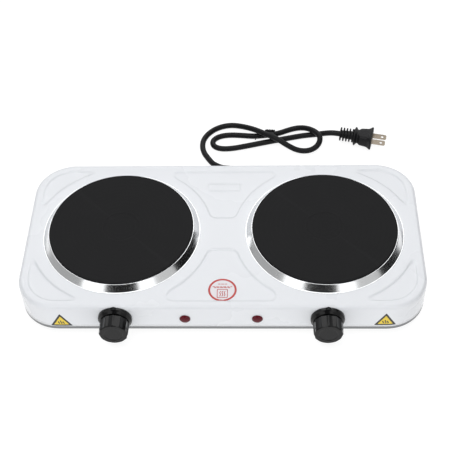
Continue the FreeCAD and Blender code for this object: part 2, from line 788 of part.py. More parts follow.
save("strap_washers", Part.makeCompound(strap_washers))
save("strap_nuts", Part.makeCompound(strap_nuts))
save("thermostat_nuts", Part.makeCompound(wall_nuts))
save("lamp_clips", Part.makeCompound(lamp_clips))
save("warning_labels", Part.makeCompound([warning_label(*place) for place in warning_places]))
save("round_label", round_label())
save("strain_relief", strain_relief())
save("inner_cord", inner_cord())
save("cord_clamp", cord_clamp())
save("clamp_screws", Part.makeCompound([clamp_screw(-1), clamp_screw(1)]))
save("terminal_block", terminal_block())
save("terminal_screws", Part.makeCompound([terminal_screw(x) for x in terminal_places]))
save("lead_wires", Part.makeCompound([lead_wires()] + inner_leads()))
save("power_cord", tube(route_points(), cord_radius, "power cord"))
save("plug_body", plug_body())
save("plug_blades", Part.makeCompound([plug_blade(-1), plug_blade(1)]))
save("cable_tie", cable_tie())
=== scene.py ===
import bmesh
import bpy
import numpy as np
from mathutils import Matrix, Vector


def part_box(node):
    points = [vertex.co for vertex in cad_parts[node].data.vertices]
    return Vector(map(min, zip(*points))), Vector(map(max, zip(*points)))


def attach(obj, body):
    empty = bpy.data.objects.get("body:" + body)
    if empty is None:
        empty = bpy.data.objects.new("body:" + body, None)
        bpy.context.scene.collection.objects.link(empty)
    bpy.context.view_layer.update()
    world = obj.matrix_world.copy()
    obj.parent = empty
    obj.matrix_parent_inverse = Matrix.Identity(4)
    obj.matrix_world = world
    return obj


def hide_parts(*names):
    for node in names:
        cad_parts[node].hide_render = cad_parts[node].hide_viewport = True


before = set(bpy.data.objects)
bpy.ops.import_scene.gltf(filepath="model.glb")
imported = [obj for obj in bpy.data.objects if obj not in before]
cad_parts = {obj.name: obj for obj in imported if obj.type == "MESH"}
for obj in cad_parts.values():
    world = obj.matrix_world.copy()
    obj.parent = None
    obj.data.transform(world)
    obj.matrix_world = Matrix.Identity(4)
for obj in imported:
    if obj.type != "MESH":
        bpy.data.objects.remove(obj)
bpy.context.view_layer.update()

mm = 0.001

# ------------------------------------------------------------------------------ camera and studio
# The camera stands in front, above the deck and a little right of the middle, and looks down at it.
# The cooker is on a white table in a light tent: white all round, a soft lamp above the front edge,
# and darker panels of the tent and the gap for the lens, which show in the polished rings.
camera_place = Vector((41.0, -719.3, 877.0)) * mm
camera_pan, camera_pitch, camera_roll = 3.008, -48.247, -2.397
camera_data = bpy.data.cameras.new("camera")
camera_data.sensor_width = 36.0
camera_data.lens = 81.85
camera = bpy.data.objects.new("camera", camera_data)
camera.matrix_world = (
    Matrix.Translation(camera_place)
    @ Matrix.Rotation(np.radians(camera_pan), 4, "Z")
    @ Matrix.Rotation(np.radians(90.0 + camera_pitch), 4, "X")
    @ Matrix.Rotation(np.radians(camera_roll), 4, "Z")
)
bpy.context.scene.collection.objects.link(camera)
bpy.context.scene.camera = camera
bpy.context.scene.view_settings.view_transform = "Standard"


def add_node(tree, kind, inputs=(), **settings):
    """A shader node with its settings, and its inputs given as plain values or as other nodes' outputs."""
    node = tree.nodes.new(kind)
    for name, value in settings.items():
        setattr(node, name, value)
    for name, value in dict(inputs).items():
        if isinstance(value, bpy.types.NodeSocket):
            tree.links.new(value, node.inputs[name])
        else:
            node.inputs[name].default_value = value
    return node


def add_flat(name, width, depth, place, turn=(0.0, 0.0, 0.0)):
    """A flat rectangle of the studio, centred on a place and turned by three angles in degrees."""
    x, y = width / 2, depth / 2
    mesh = bpy.data.meshes.new(name)
    mesh.from_pydata([(-x, -y, 0), (x, -y, 0), (x, y, 0), (-x, y, 0)], [], [(0, 1, 2, 3)])
    flat = bpy.data.objects.new(name, mesh)
    flat.location = place
    flat.rotation_euler = np.radians(turn)
    bpy.context.scene.collection.objects.link(flat)
    return flat


def studio_paint(name, grey, roughness=0.5, glow=0.0):
    """Even grey paint with no shine, for the studio. It may also glow white by itself."""
    made = bpy.data.materials.new(name)
    made.use_nodes = True
    shader = made.node_tree.nodes["Principled BSDF"]
    shader.inputs["Base Color"].default_value = (grey, grey, grey, 1)
    shader.inputs["Roughness"].default_value = roughness
    shader.inputs["Specular IOR Level"].default_value = 0.0
    shader.inputs["Emission Color"].default_value = (1, 1, 1, 1)
    shader.inputs["Emission Strength"].default_value = glow
    return made


def table_top():
    """White table: matt paint that glows, so that the table fades out to plain white."""
    table = add_flat("table", 8.0, 8.0, (0, 0, 0))
    table.data.materials.append(studio_paint("table_white", 0.25, 0.9, 0.88))


def tent_panel(name, azimuths, elevations, strength):
    """One panel of the tent, on a cylinder 2.5 m from the cooker. It spans two azimuths, in degrees to the
    right of straight in front, and two elevations. Only polished things see it, with a given brightness."""
    far = 2.5
    azimuth = np.radians(np.linspace(*azimuths, 13))
    low, high = far * np.tan(np.radians(elevations))
    ends = [(far * np.sin(a), -far * np.cos(a)) for a in azimuth]
    points = [(x, y, z) for x, y in ends for z in (low, high)]
    faces = [(2 * k, 2 * k + 1, 2 * k + 3, 2 * k + 2) for k in range(len(ends) - 1)]
    mesh = bpy.data.meshes.new(name)
    mesh.from_pydata(points, [], faces)
    mesh.materials.append(studio_paint(name, 0.0, glow=strength))
    panel = bpy.data.objects.new(name, mesh)
    bpy.context.scene.collection.objects.link(panel)
    panel.visible_camera = False
    panel.visible_diffuse = False
    panel.visible_shadow = False


def side_flags():
    """A dark flag at each side, out of sight, that keeps some light off the end walls."""
    black = studio_paint("flag_black", 0.01)
    for name, x in (("flag_left", -0.85), ("flag_right", 0.8)):
        flag = add_flat(name, 0.9, 1.4, (x, -0.2, 0.46), (90, 0, 90))
        flag.data.materials.append(black)
        flag.visible_camera = False
        flag.visible_glossy = False


def studio_light():
    """Even white light from the tent, with one large soft lamp in front of and above the cooker."""
    world = bpy.data.worlds.new("light_tent")
    world.use_nodes = True
    tree = world.node_tree
    tent = tree.nodes["Background"]
    tent.inputs["Color"].default_value = (0.97, 0.98, 1.0, 1)
    tent.inputs["Strength"].default_value = 0.80
    seen = add_node(tree, "ShaderNodeBackground", {"Color": (1, 1, 1, 1), "Strength": 1.0})
    path = add_node(tree, "ShaderNodeLightPath")
    both = add_node(tree, "ShaderNodeMixShader", {0: path.outputs["Is Camera Ray"],
                                                  1: tent.outputs[0], 2: seen.outputs[0]})
    tree.links.new(both.outputs[0], tree.nodes["World Output"].inputs["Surface"])
    bpy.context.scene.world = world
    lamp_data = bpy.data.lights.new("soft_lamp", "AREA")
    lamp_data.shape = "RECTANGLE"
    lamp_data.size, lamp_data.size_y = 1.6, 1.0
    lamp_data.energy = 12.0
    lamp = bpy.data.objects.new("soft_lamp", lamp_data)
    lamp.location = (-0.25, -0.6, 1.9)
    lamp.rotation_euler = np.radians((17.5, 0.0, -10.0))
    bpy.context.scene.collection.objects.link(lamp)


table_top()
tent_panel("lens_gap", (-24, 19), (6, 60), 0.006)
tent_panel("bright_panel_left", (-53, -24), (0, 60), 1.4)
tent_panel("bright_panel_right", (19, 43), (0, 60), 1.4)
tent_panel("grey_panel_left", (-125, -53), (0, 50), 0.42)
tent_panel("grey_panel_right", (43, 74), (0, 50), 0.62)
tent_panel("open_side", (74, 128), (2, 34), 0.012)
tent_panel("rear_softbox", (138, 222), (34, 64), 2.4)
side_flags()
studio_light()

# --------------------------------------------------------------------------------- mains lead
# Round two-core lead in satin black PVC, extruded. It leaves the guard at the back, drops to the
# table, and lies there in a figure of eight: one loop behind the body, one towards the plug.
housing_low, housing_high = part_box("top_housing")
body_y = (housing_low[1] + housing_high[1]) / 2
front_y, rear_y = housing_low[1], housing_high[1]
lead_diameter = 6.8 * mm
lead_route = [
    (7, 125, 17), (5.5, 131, 12.2), (1, 135.3, 8.4), (-5, 138.6, 5.8), (-10.5, 142.8, 4.4),
    (-17, 148, 3.6), (-22.8, 157.3, 3.45), (-28, 166.5, 3.45), (-30.5, 177.5, 3.45), (-29.7, 189.5, 3.45),
    (-23.5, 201.5, 3.45), (-12.5, 211.5, 3.45), (3, 216.5, 3.45), (19, 210.5, 6.5), (33.6, 199, 12),
    (48.6, 187.4, 14.4), (62, 179.3, 14.2), (74, 172.5, 9.5), (87, 168.5, 4.5), (101, 168.3, 4.5),
    (111.5, 174, 8), (114.5, 184.3, 12.4), (108.7, 193.3, 13), (99, 202.5, 10.4), (88, 208.5, 5.6),
    (77, 206.5, 4.2), (63.3, 199.3, 4.6), (48, 196, 4.6), (32, 195, 4), (16, 197.6, 3.45),
    (1, 198.3, 3.45), (-11, 195.3, 3.45), (-18.3, 187.8, 3.45), (-17, 178.3, 3.45), (-8, 173.5, 3.45),
    (6, 174, 3.45), (23, 177.8, 3.9), (41, 182, 4.6), (60, 187, 4.6), (78, 192.6, 3.6),
    (95, 196.8, 3.45), (110, 197.6, 4.3), (121, 196.1, 7.8), (130.4, 193.6, 10.7), (138.6, 191.7, 10.7),
]
lead_points = np.array(lead_route) * mm + (0, body_y, 0)


def finish(name, shades, roughness, grain=(400.0, 0.05), mottle=30.0, edge_wear_and_sheen=None, **constants):
    """A surface finish on Object coordinates. The colour drifts between two shades with a soft noise, the
    roughness between two values with the same noise, and a fine noise raises the grain as bump. The edge
    argument, (colour, amount), gives a colour where edges stick out: bare worn metal on the metal finishes,
    and a painted highlight along the ridges and rims of the black bakelite. constants go straight to the
    shader."""
    made = bpy.data.materials.new(name)
    made.use_nodes = True
    tree = made.node_tree
    shader = tree.nodes["Principled BSDF"]
    place = add_node(tree, "ShaderNodeTexCoord").outputs["Object"]
    drift = add_node(tree, "ShaderNodeTexNoise", {"Vector": place, "Scale": mottle, "Detail": 4.0})
    shade = add_node(tree, "ShaderNodeMixRGB", {"Fac": drift.outputs["Fac"],
                                                "Color1": (*shades[0], 1), "Color2": (*shades[1], 1)})
    colour = shade.outputs["Color"]
    # Edges picked out by pointiness take the edge colour: worn bare metal on the metals, a painted highlight
    # on the bakelite.
    if edge_wear_and_sheen:
        edge = add_node(tree, "ShaderNodeNewGeometry").outputs["Pointiness"]
        band = add_node(tree, "ShaderNodeMapRange", {"Value": edge, "From Min": 0.52, "From Max": 0.62,
                                                     "To Min": 0.0, "To Max": edge_wear_and_sheen[1]})
        wear_and_sheen_tint = add_node(tree, "ShaderNodeMixRGB", {"Fac": band.outputs["Result"], "Color1": colour,
                                                   "Color2": (*edge_wear_and_sheen[0], 1)})
        colour = wear_and_sheen_tint.outputs["Color"]
    tree.links.new(colour, shader.inputs["Base Color"])
    gloss = add_node(tree, "ShaderNodeMapRange", {"Value": drift.outputs["Fac"], "From Min": 0.3,
                                                  "From Max": 0.7, "To Min": roughness[0],
                                                  "To Max": roughness[1]})
    tree.links.new(gloss.outputs["Result"], shader.inputs["Roughness"])
    fine = add_node(tree, "ShaderNodeTexNoise", {"Vector": place, "Scale": grain[0], "Detail": 3.0})
    bump = add_node(tree, "ShaderNodeBump", {"Height": fine.outputs["Fac"], "Strength": grain[1],
                                             "Distance": 0.0005})
    tree.links.new(bump.outputs["Normal"], shader.inputs["Normal"])
    for key, value in constants.items():
        shader.inputs[key.replace("_", " ")].default_value = value
    return made


lead_pvc = finish("lead_pvc", ((0.005, 0.005, 0.0055), (0.009, 0.009, 0.010)), (0.34, 0.44),
                  grain=(900.0, 0.10), mottle=60.0, Specular_IOR_Level=0.15)


def lead_curve():
    """The lead's centre line as one smooth spline through the bends of its route, with a round section."""
    data = bpy.data.curves.new("power_lead", "CURVE")
    data.dimensions = "3D"
    spline = data.splines.new("NURBS")
    spline.points.add(len(lead_points) - 1)
    for point, place in zip(spline.points, lead_points):
        point.co = (*place, 1.0)
    spline.order_u = 3
    spline.use_endpoint_u = True
    spline.resolution_u = 12
    data.bevel_depth = lead_diameter / 2
    data.bevel_resolution = 6
    data.use_fill_caps = True
    data.materials.append(lead_pvc)
    lead = bpy.data.objects.new("power_lead", data)
    bpy.context.scene.collection.objects.link(lead)
    return lead


power_lead = lead_curve()
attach(power_lead, "housing")
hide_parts("power_cord")

# -------------------------------------------------------------------------------- cord guard
# Moulded in flexible PVC round the lead. A collar each side of the back wall holds it in its hole,
# and a ringed tail tapers outside, so that the lead bends down gently.
guard_hole = Vector((7 * mm, rear_y, 23.2 * mm))
guard_steps, guard_rings = 92, 7
collar_radius, collar_width, neck_radius = 6.8, 2.6, 5.2
tail_radius, tail_taper, groove_depth = 5.8, 1.6, 0.9


def quads(rows, columns, wrap_rows=False, wrap_columns=True):
    """Corner numbers of the quads of a grid of points that are numbered row by row."""
    i = np.arange(rows if wrap_rows else rows - 1)[:, None]
    j = np.arange(columns if wrap_columns else columns - 1)[None, :]
    below, across = (i + 1) % rows, (j + 1) % columns
    corners = [i * columns + j, i * columns + across, below * columns + across, below * columns + j]
    return np.stack(np.broadcast_arrays(*corners), axis=-1).reshape(-1, 4)


def new_piece(name, points, faces, material, body="housing", slot=None, instead_of=(), merge=1e-6):
    """A smooth mesh from points in metres. Doubled points are merged, so seams and poles close, and the
    faces are turned outwards. The piece then rides on its body."""
    mesh = bpy.data.meshes.new(name)
    mesh.from_pydata(np.asarray(points).reshape(-1, 3).tolist(), [], np.asarray(faces).tolist())
    work = bmesh.new()
    work.from_mesh(mesh)
    bmesh.ops.remove_doubles(work, verts=work.verts, dist=merge)
    bmesh.ops.recalc_face_normals(work, faces=work.faces)
    work.to_mesh(mesh)
    work.free()
    mesh.shade_smooth()
    mesh.materials.append(material)
    piece = bpy.data.objects.new(name, mesh)
    bpy.context.scene.collection.objects.link(piece)
    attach(piece, body)
    if instead_of:
        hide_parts(*instead_of)
    return piece


def eased(corners, steps=6, closed=False):
    """An outline from (x, y, radius) corners. Each corner becomes an arc that touches both its sides,
    with one more point just outside each end of the arc, so that the flats stay flat when shaded."""
    places = np.array([c[:2] for c in corners], float)
    radii = [c[2] for c in corners]
    count = len(places)
    outline = []
    for k, (corner, radius) in enumerate(zip(places, radii)):
        if radius == 0 or (not closed and k in (0, count - 1)):
            outline.append(corner[None])
            continue
        back, ahead = places[k - 1] - corner, places[(k + 1) % count] - corner
        reach = np.linalg.norm(back), np.linalg.norm(ahead)
        back, ahead = back / reach[0], ahead / reach[1]
        half = np.arccos(np.clip(back @ ahead, -1, 1)) / 2
        touch = min(radius / np.tan(half), 0.48 * min(reach))
        radius = touch * np.tan(half)
        middle = (back + ahead) / np.linalg.norm(back + ahead)
        centre = corner + middle * radius / np.sin(half)
        first, last = corner + back * touch - centre, corner + ahead * touch - centre
        sweep = np.pi - 2 * half
        w = np.linspace(0, 1, steps + 1)[:, None]
        arc = centre + (np.sin((1 - w) * sweep) * first + np.sin(w * sweep) * last) / np.sin(sweep)
        extra = min(0.25 * radius, 0.04 * min(reach))
        outline += [(arc[0] + back * extra)[None], arc, (arc[-1] + ahead * extra)[None]]
    return np.concatenate(outline)


def swept(path, headings, half_widths, half_heights, squareness=2.0, columns=48, roll=0.0):
    """Rings of points across a path. A ring is an oval a * |cos|^(2/n), b * |sin|^(2/n), and n is its
    squareness: 2 is round. It stands square to the path's heading, with its height upwards, less a roll
    about the heading in degrees."""
    headings = headings / np.linalg.norm(headings, axis=1, keepdims=True)
    aside = np.cross(headings, (0, 0, 1.0))
    aside /= np.linalg.norm(aside, axis=1, keepdims=True)
    upward = np.cross(aside, headings)
    turn = np.radians(roll)
    aside, upward = (aside * np.cos(turn) - upward * np.sin(turn),
                     aside * np.sin(turn) + upward * np.cos(turn))
    angle = np.linspace(0, 2 * np.pi, columns, endpoint=False)[None, :]
    power = 2.0 / (np.zeros(len(path)) + squareness)[:, None]
    a = np.sign(np.cos(angle)) * np.abs(np.cos(angle)) ** power * np.asarray(half_widths)[:, None]
    b = np.sign(np.sin(angle)) * np.abs(np.sin(angle)) ** power * np.asarray(half_heights)[:, None]
    return path[:, None] + a[..., None] * aside[:, None] + b[..., None] * upward[:, None]


def cord_guard():
    """A tail on a bent path: straight through the wall, then a quadratic curve down to the lead's first
    point. Its radius falls evenly, less a groove between each two of its seven rings."""
    first = Vector(lead_points[0])
    run = (Vector(lead_points[1]) - first).normalized()
    root = guard_hole + Vector((0, collar_width * mm, 0))
    knee = first - run * ((guard_hole.z - first.z) / -run.z)
    stations = eased([(-3, 3.5, 0), (-3, collar_radius, 0.4), (-1, collar_radius, 0.3),
                      (-1, neck_radius, 0.05), (0, neck_radius, 0.05), (0, collar_radius, 0.3),
                      (collar_width, collar_radius, 0.8), (collar_width, tail_radius, 0.2)])
    along, radius = stations[:, 0] * mm, stations[:, 1] * mm
    straight = np.array(guard_hole)[None] + along[:, None] * (0, 1.0, 0)
    t = np.linspace(0, 1, guard_steps)[:, None]
    bent = (1 - t) ** 2 * np.array(root) + 2 * t * (1 - t) * np.array(knee) + t ** 2 * np.array(first)
    heading = (1 - t) * np.array(knee - root) + t * np.array(first - knee)
    groove = np.clip(np.cos(2 * np.pi * guard_rings * (t[:, 0] - 0.06)) * 4 - 1.6, 0, 1)
    tail = (tail_radius - tail_taper * t[:, 0] - groove_depth * groove * (t[:, 0] < 0.97)) * mm
    path = np.concatenate([straight, bent[1:], bent[-1:]])
    headings = np.concatenate([np.tile((0, 1.0, 0), (len(straight), 1)), heading[1:], heading[-1:]])
    radii = np.concatenate([radius, tail[1:], [lead_diameter / 2]])
    return swept(path, headings, radii, radii)


guard_points = cord_guard()
guard = new_piece("cord_guard", guard_points, quads(*guard_points.shape[:2]), lead_pvc,
                  slot="pvc_black", instead_of=["strain_relief"])

# --------------------------------------------------------------------------------------- plug
# Two-blade plug moulded in one piece on the lead's end in satin black PVC: a ringed guard, a
# collar, a waist to hold it by, a squarish body and a flared face. The blades are nickelled brass.
plug_start = lead_points[-1]
plug_heading = (lead_points[-1] - lead_points[-2]) * (1, 1, 0)
plug_heading /= np.linalg.norm(plug_heading)
plug_length, plug_roll = 39.4, -9.0
plug_rings, plug_ring_pitch, plug_ring_radius = 5, 3.7, 8.3
plug_pvc = finish("plug_pvc", ((0.005, 0.005, 0.0055), (0.010, 0.010, 0.011)), (0.38, 0.5),
                  grain=(1500.0, 0.20), mottle=90.0, Specular_IOR_Level=0.18)
blade_metal = finish("blade_nickel", ((0.24, 0.22, 0.21), (0.40, 0.37, 0.35)), (0.18, 0.34),
                     grain=(700.0, 0.2), mottle=150.0, edge_wear_and_sheen=((0.5, 0.38, 0.2), 0.3), Metallic=1.0)


def plug_mould():
    """Ovals along the plug's axis. Half width, half height and squareness are each a line through a few
    stations, and the guard's rings are a smooth square wave in radius added in front of the collar."""
    stations = [0, 15, 16.4, 18.0, 19.0, 21.3, 22.6, 25.0, 33.5, 35.6, 37.6, 39.1, plug_length]
    s = np.concatenate([np.linspace(0, 19, 150), np.linspace(19.15, 39.1, 110), [39.3, plug_length]])
    width = np.interp(s, stations, [4.6, 5.4, 8.0, 13.6, 13.6, 9.2, 9.2, 11.2, 12.1, 13.2, 15.1, 15.1, 14.7])
    height = np.interp(s, stations, [4.6, 5.4, 7.2, 9.2, 9.2, 7.3, 7.3, 7.7, 7.9, 8.4, 9.4, 9.4, 9.0])
    square = np.interp(s, [0, 16, 19, 22, 26, 36, plug_length], [2, 2, 2.4, 2.4, 3.4, 4.2, 4.2])
    phase = s / plug_ring_pitch - 0.8 / plug_ring_pitch
    wave = np.clip(np.cos(2 * np.pi * phase) * 5 - 1.0, 0, 1) * (s < plug_ring_pitch * plug_rings - 1.2)
    width = width + wave * (plug_ring_radius - width)
    height = height + wave * (plug_ring_radius - height)
    hole_radius = 3.0
    s = np.concatenate([[0], s, [plug_length]])
    width = np.concatenate([[hole_radius], width, [0]])
    height = np.concatenate([[hole_radius], height, [0]])
    square = np.concatenate([[2], square, [4.2]])
    path = plug_start + s[:, None] * mm * plug_heading
    headings = np.tile(plug_heading, (len(s), 1))
    return swept(path, headings, width * mm, height * mm, square, 72, plug_roll)


def dress(material, *names):
    """Gives CAD parts their finish."""
    for name in names:
        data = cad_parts[name].data
        data.materials.clear()
        data.materials.append(material)


plug_points = plug_mould()
plug = new_piece("moulded_plug", plug_points, quads(*plug_points.shape[:2]), plug_pvc,
                 slot="plug_pvc", instead_of=["plug_body"])
dress(blade_metal, "plug_blades")

# ---------------------------------------------------------------------------------- wire tie
# Flat plastic-covered wire wrapped round the three strands where the lead crosses itself. Its ends
# are twisted into a knot, and the tail passes under the top strand to the front.
tie_plane, tie_middle, tie_slant = 55.5, 190.5, -0.5
tie_width, tie_thickness, tie_squareness = 6.5, 0.9, 5
knot_wire_radius, tail_wire_radius = 0.95, 0.42
tie_clearance = lead_diameter / mm / 2 + 0.75
tie_plastic = finish("tie_plastic", ((0.006, 0.006, 0.006), (0.012, 0.012, 0.013)), (0.4, 0.55),
                     grain=(1100.0, 0.3), mottle=120.0, Specular_IOR_Level=0.3)


def tie_band():
    """A band of rounded section on the outline that a taut string takes round the strands: their hull,
    moved out by the strand's radius. The section is an oval of squareness 5, square to the outline, and
    the whole band leans in plan, square to the strands."""
    strands = np.array([(185.1, 5.1), (198.3, 5.1), (183.6, 14.7), (179.6, 14.5), (176.2, 12.6)])
    loop, outward = [], []
    for before, here, after in zip(np.roll(strands, 1, 0), strands, np.roll(strands, -1, 0)):
        start, stop = here - before, after - here
        a, b = np.arctan2(-start[0], start[1]), np.arctan2(-stop[0], stop[1])
        turn = np.linspace(a, a + (b - a) % (2 * np.pi), 14) + np.pi
        loop.append(here + 0 * turn[:, None])
        outward.append(np.stack([np.cos(turn), np.sin(turn)], 1))
    loop, outward = np.concatenate(loop), np.concatenate(outward)
    angle = np.linspace(0, 2 * np.pi, 28, endpoint=False)
    across = np.sign(np.cos(angle)) * np.abs(np.cos(angle)) ** (2 / tie_squareness) * tie_width / 2
    rise = np.sign(np.sin(angle)) * np.abs(np.sin(angle)) ** (2 / tie_squareness) * tie_thickness / 2
    away = tie_clearance + tie_thickness / 2 + rise[None, :]
    y = loop[:, :1] + outward[:, :1] * away
    z = loop[:, 1:] + outward[:, 1:] * away
    x = tie_plane + across[None, :] + tie_slant * (y - tie_middle)
    return np.stack([x, y, z], -1) * mm + (0, body_y, 0)


def twisted(bends, wire_radius, turns):
    """Two round wires wound about each other along a bent centre line: two helices of the wire's radius,
    about a smooth curve of up to the fifth degree along the bends, with rounded ends."""
    bends = np.array(bends)
    t = np.linspace(0, 1, 90)
    degree = min(5, len(bends) - 1)
    curve = np.polyfit(np.linspace(0, 1, len(bends)), bends, degree)
    centre = np.stack([np.polyval(row, t) for row in curve.T], 1)
    heading = np.gradient(centre, axis=0)
    heading /= np.linalg.norm(heading, axis=1, keepdims=True)
    aside = np.cross(heading, (0, 0, 1.0))
    aside /= np.linalg.norm(aside, axis=1, keepdims=True)
    upward = np.cross(aside, heading)
    taper = np.sqrt(np.clip(np.minimum(t, 1 - t) * 40, 0, 1))
    strands = []
    for start in (0, np.pi):
        turn = (t * 2 * np.pi * turns + start)[:, None]
        line = centre + 0.85 * wire_radius * (np.cos(turn) * aside + np.sin(turn) * upward)
        line = line * mm + (0, body_y, 0)
        radius = wire_radius * mm * taper
        strands.append(swept(line, np.gradient(line, axis=0), radius, radius, columns=12))
    return strands


knot_bends = [(58.5, 192.8, 14.6), (55, 193.5, 14.6), (51, 194.2, 14.2), (47, 195.8, 13.2)]
tail_bends = [(50.5, 194.1, 13.9), (48.6, 195.2, 13.1), (46.8, 195.6, 12.0), (44.9, 194.4, 9.4),
              (43, 190.4, 8.2), (39.5, 187.6, 8.8), (36.5, 186.2, 9.2), (34.6, 183.4, 8.6)]
band_points = tie_band()
twist_points = twisted(knot_bends, knot_wire_radius, 2) + twisted(tail_bends, tail_wire_radius, 5)
tie_points = [band_points.reshape(-1, 3)] + [twist.reshape(-1, 3) for twist in twist_points]
tie_faces = [quads(*band_points.shape[:2], wrap_rows=True)]
for k, twist in enumerate(twist_points):
    tie_faces.append(quads(*twist.shape[:2]) + sum(map(len, tie_points[:k + 1])))
tie = new_piece("wire_tie", np.concatenate(tie_points), np.concatenate(tie_faces), tie_plastic,
                slot="tie_plastic", instead_of=["cable_tie"])

# -------------------------------------------------------------------------- base pan and feet
# The bottom is pressed from galvanised sheet, and its rim shows as a grey line under the enamel.
# Four rubber feet are screwed through it into bent tabs that stand between the pan and the deck.
galvanised = finish("galvanised_sheet", ((0.20, 0.205, 0.21), (0.30, 0.305, 0.31)), (0.38, 0.55),
                    grain=(260.0, 0.15), mottle=45.0, Metallic=0.85)
zinc_plate = finish("zinc_plated_screw", ((0.50, 0.51, 0.52), (0.66, 0.66, 0.64)), (0.25, 0.4),
                    grain=(600.0, 0.1), mottle=200.0, edge_wear_and_sheen=((0.75, 0.75, 0.75), 0.5), Metallic=1.0)
foot_rubber = finish("foot_rubber", ((0.016, 0.016, 0.016), (0.03, 0.03, 0.029)), (0.75, 0.9),
                     grain=(1300.0, 0.5), mottle=80.0)


def turned(outline, segments=160):
    """A surface of revolution about z: each outline point (radius, height), in mm, goes round in a ring.
    Comes back in metres, one row for each outline point."""
    angle = np.linspace(0, 2 * np.pi, segments, endpoint=False)[None, :]
    radius, height = outline[:, :1], outline[:, 1:] + 0 * angle
    return np.stack([radius * np.cos(angle), radius * np.sin(angle), height], -1) * mm


def rubber_foot(name):
    """A round foot, a little narrower below, with two grip rings and a sunk hole for its screw."""
    low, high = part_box(name)
    tall = (high[2] - low[2]) / mm
    outline = eased([(2.3, 5, 0.2), (5, 5, 0.3), (5, 0, 0.4), (6.0, 0, 0.2), (6.3, 0.5, 0.2), (6.9, 0.5, 0.2),
                     (7.2, 0, 0.2), (8.2, 0, 0.6), (8.9, 2.6, 0.3), (8.6, 3.1, 0.2), (9.3, 7, 0.6),
                     (10, 8.4, 0.6), (10, tall, 0.3), (2.3, tall, 0.2)], 4, closed=True)
    points = turned(outline, 72) + ((low[0] + high[0]) / 2, (low[1] + high[1]) / 2, low[2])
    new_piece(name.replace("foot", "rubber_foot"), points, quads(*points.shape[:2], wrap_rows=True),
              foot_rubber, slot="rubber_black", instead_of=[name])


dress(galvanised, "base_pan", "mounting_brackets")
dress(zinc_plate, "foot_screws")
for corner in ("front_left", "front_right", "rear_left", "rear_right"):
    rubber_foot("foot_" + corner)

# ------------------------------------------------------------------------------------ housing
# Deck and walls are one deep-drawn steel pressing with fired white enamel. Shallow panels are
# pressed 1.1 mm down between and around the burners, with soft edges, and one small pad is raised.
enamel = finish("white_enamel", ((0.80, 0.815, 0.84), (0.835, 0.85, 0.872)), (0.22, 0.3),
                grain=(160.0, 0.035), mottle=9.0, Coat_Weight=0.35, Coat_Roughness=0.12,
                Specular_IOR_Level=0.4)
half_length = (housing_high[0] - housing_low[0]) / 2 / mm
half_depth = (housing_high[1] - housing_low[1]) / 2 / mm
deck_top, wall_bottom = housing_high[2] / mm, housing_low[2] / mm
corner_radius, edge_radius, sheet = 43.0, 4.0, 1.0
panel_depth, panel_slope, pad_height, pad_slope = 1.1, 2.5, 0.6, 1.4
rear_panel_far, rear_panel_near, rear_panel_half = 92.5, 19.5, 60.0
front_panel_far, front_panel_near, front_panel_half = 94.8, 23.5, 58.0
corner_panel_inset, corner_panel_radius = 9.0, 33.5
corner_panel_x, corner_panel_y = 141.0, 32.0
pad_y, pad_half_length, pad_half_width = 66.9, 18.5, 6.1
plate_low, plate_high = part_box("hot_plate_right")
burner_x = (plate_low[0] + plate_high[0]) / 2 / mm
panel_arc, deck_hole = 96.5, 79.0


def blend_least(a, b, width):
    """The lesser of two distances, rounded off where they are within a width of each other."""
    near = np.maximum(width - np.abs(a - b), 0)
    return np.minimum(a, b) - near ** 2 / (4 * width)


def soft_step(distance, width):
    """0 below nothing, 1 above a width, and a smooth S between."""
    t = np.clip(distance / width, 0, 1)
    return t * t * (3 - 2 * t)


def deck_height(x, y):
    """Height of the deck at x and y from the body's middle. A panel's depth is an S of the distance inside
    its outline, and the outline is the least of the distances from its straight sides and arcs."""
    x, far = np.abs(x), np.hypot(np.abs(x) - burner_x, y) - panel_arc
    rear = blend_least(rear_panel_far - y, y - rear_panel_near, 3.0)
    rear = blend_least(blend_least(rear, rear_panel_half - x, 9.0), far, 7.0)
    front = blend_least(front_panel_far + y, -front_panel_near - y, 3.0)
    front = blend_least(blend_least(front, front_panel_half - x, 9.0), far, 7.0)
    u = x - (half_length - corner_panel_inset - corner_panel_radius)
    v = np.abs(y) - (half_depth - corner_panel_inset - corner_panel_radius)
    round_end = np.hypot(np.maximum(u, 0), np.maximum(v, 0)) + np.minimum(np.maximum(u, v), 0)
    corner = corner_panel_radius - round_end
    ends = blend_least(x - corner_panel_x, np.abs(y) - corner_panel_y, 4.0)
    corner = blend_least(blend_least(corner, far, 9.0), ends, 9.0)
    inside = np.maximum(np.maximum(rear, front), corner)
    pad = blend_least(pad_half_length - x, pad_half_width - np.abs(y - pad_y), 1.5)
    return deck_top - panel_depth * soft_step(inside, panel_slope) + pad_height * soft_step(pad, pad_slope)


def body_outline(inset, spacing):
    """Points and outward directions round the body's plan, moved in by an inset: four straight sides and
    four quarter circles, starting at the middle of the front and going round by the right."""
    radius = corner_radius - inset
    x, y = half_length - corner_radius, half_depth - corner_radius
    points, outward = [], []
    sides = [((0, -1), (0, x)), ((1, 0), (-y, y)), ((0, 1), (x, -x)), ((-1, 0), (y, -y)), ((0, -1), (-x, 0))]
    centres = [(x, -y), (x, y), (-x, y), (-x, -y)]
    for k, ((nx, ny), (start, stop)) in enumerate(sides):
        run = np.linspace(start, stop, int(abs(stop - start) / spacing) + 1)[:, None]
        along = run * (abs(ny), abs(nx))
        base = np.array((nx * (x + radius), ny * (y + radius)))
        points.append(along + base)
        outward.append(np.tile((nx, ny), (len(run), 1)))
        if k < 4:
            turn = np.linspace(0, np.pi / 2, int(radius * np.pi / 2 / spacing) + 1)[1:-1, None]
            turn = turn + np.arctan2(ny, nx)
            direction = np.concatenate([np.cos(turn), np.sin(turn)], 1)
            points.append(np.array(centres[k]) + radius * direction)
            outward.append(direction)
    return np.concatenate(points)[:-1], np.concatenate(outward)[:-1].astype(float)


